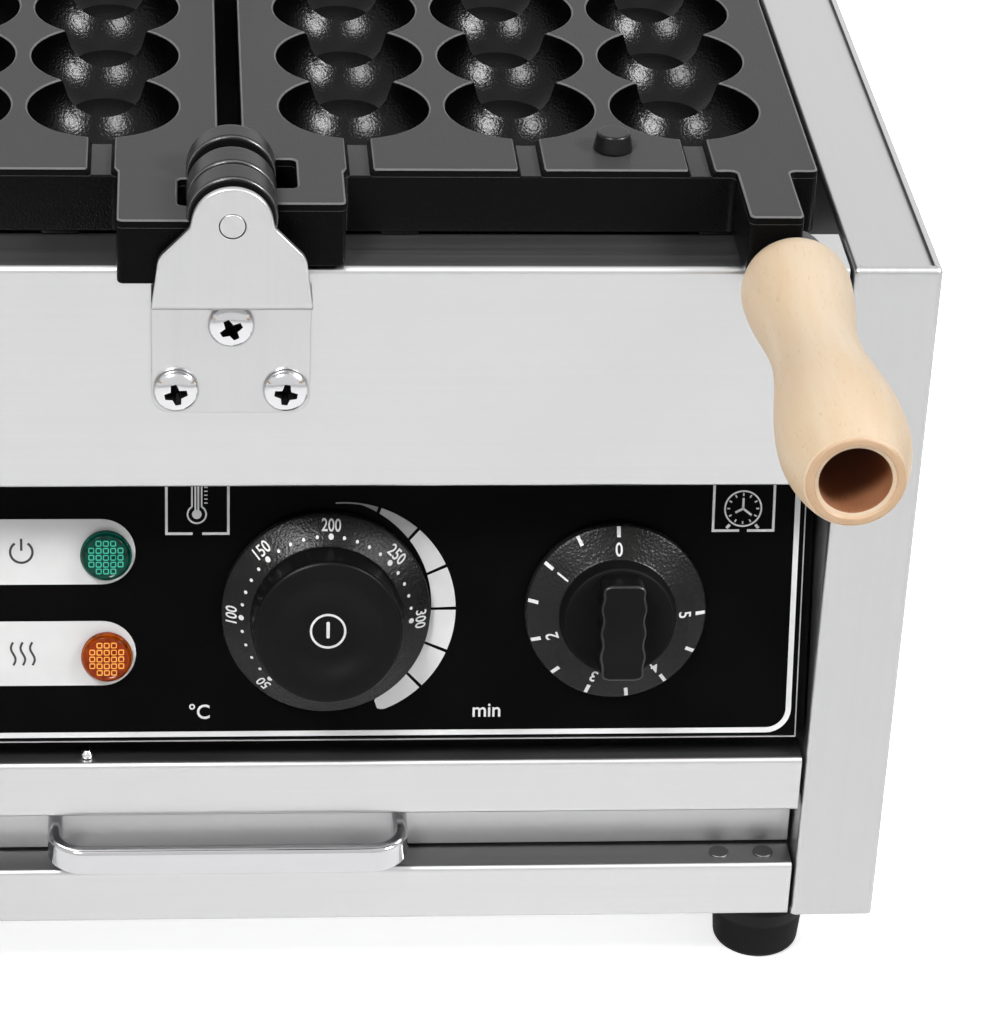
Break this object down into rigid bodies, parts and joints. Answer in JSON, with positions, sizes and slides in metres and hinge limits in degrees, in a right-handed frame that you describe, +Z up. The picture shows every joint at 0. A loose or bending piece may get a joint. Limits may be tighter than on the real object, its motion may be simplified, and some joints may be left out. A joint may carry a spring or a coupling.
{
  "type": "bubble waffle maker",
  "caption": "Countertop baker for strings of waffle balls on skewers: two cast moulds fold book-like on one hinge over a stainless body with dials, lamps, wooden handles and a crumb tray.",
  "frame": {"origin": "centre of the footprint at the height of the feet's soles", "axes": "+Z up, +Y from the control panel towards the back, +X to the right as seen from the front"},
  "size_m": [0.3684, 0.3714, 0.2591],
  "materials": {
    "brushed_steel": "brushed",
    "chrome": "polished",
    "heater_steel": "satin",
    "cast_black": "black non-stick coating",
    "wood": "sanded",
    "black_plastic": "fine grained",
    "panel_black": "satin",
    "rubber": "matt",
    "green_lens": "clear prismatic",
    "amber_lens": "clear prismatic",
    "ceramic": "matt"
  },
  "bodies": {
    "body": {"side_panel_left": "brushed_steel", "side_panel_right": "brushed_steel", "front_fascia": "brushed_steel", "rear_panel": "brushed_steel", "base_plate": "brushed_steel", "inner_baffle": "brushed_steel", "front_hinge_bracket": "brushed_steel", "rear_hinge_bracket": "brushed_steel", "tray_runner_left": "brushed_steel", "tray_runner_right": "brushed_steel", "control_panel": "panel_black", "foot_front_left": "rubber", "foot_front_right": "rubber", "foot_rear_left": "rubber", "foot_rear_right": "rubber", "front_hinge_pin": "chrome", "rear_hinge_pin": "chrome", "front_hinge_washer": "chrome", "rear_hinge_washer": "chrome", "foot_screw_front_left": "chrome", "foot_screw_front_right": "chrome", "foot_screw_rear_left": "chrome", "foot_screw_rear_right": "chrome", "front_bracket_screw_low_left": "chrome", "front_bracket_screw_low_right": "chrome", "front_bracket_screw_high": "chrome", "rear_bracket_screw_low_left": "chrome", "rear_bracket_screw_low_right": "chrome", "rear_bracket_screw_high": "chrome", "cable_gland": "black_plastic", "cable_gland_nut": "black_plastic", "thermostat_body": "ceramic", "timer_body": "ceramic", "terminal_block": "ceramic", "green_lamp": "green_lens", "amber_lamp": "amber_lens"},
    "left_pan": {"left_mould": "cast_black", "left_heating_element": "heater_steel", "left_heater_cover": "brushed_steel", "left_handle": "wood", "left_handle_rod": "chrome", "left_handle_nut": "chrome"},
    "right_pan": {"right_mould": "cast_black", "right_heating_element": "heater_steel", "right_heater_cover": "brushed_steel", "right_handle": "wood", "right_handle_rod": "chrome", "right_handle_nut": "chrome", "locating_peg": "cast_black"},
    "crumb_drawer": {"crumb_tray": "brushed_steel", "tray_front": "brushed_steel", "tray_handle": "chrome", "tray_handle_screw_left": "chrome", "tray_handle_screw_right": "chrome", "tray_stop_rivet": "chrome"},
    "temperature_dial": {"temperature_knob": "black_plastic", "thermostat_shaft": "chrome"},
    "timer_dial": {"timer_knob": "black_plastic", "timer_shaft": "chrome"}
  },
  "joints": [
    {"name": "left_pan_hinge", "type": "hinge", "parent": "body", "child": "left_pan", "pos_m": [0, -0.0714, 0.24775], "axis": [0, 1, 0], "range_deg": [0, 180]},
    {"name": "right_pan_hinge", "type": "hinge", "parent": "body", "child": "right_pan", "pos_m": [0, -0.0714, 0.24775], "axis": [0, -1, 0], "range_deg": [0, 180]},
    {"name": "temperature_knob_turn", "type": "hinge", "parent": "body", "child": "temperature_dial", "pos_m": [0.0263, -0.06075, 0.1186], "axis": [0, -0.9718, 0.2359], "range_deg": [-141, 90]},
    {"name": "timer_knob_turn", "type": "hinge", "parent": "body", "child": "timer_dial", "pos_m": [0.1057, -0.06075, 0.1186], "axis": [0, 0.9718, -0.2359], "range_deg": [0, 270]},
    {"name": "crumb_tray_slide", "type": "slide", "parent": "body", "child": "crumb_drawer", "axis": [0, -1, 0], "range_m": [0, 0.17]}
  ]
}
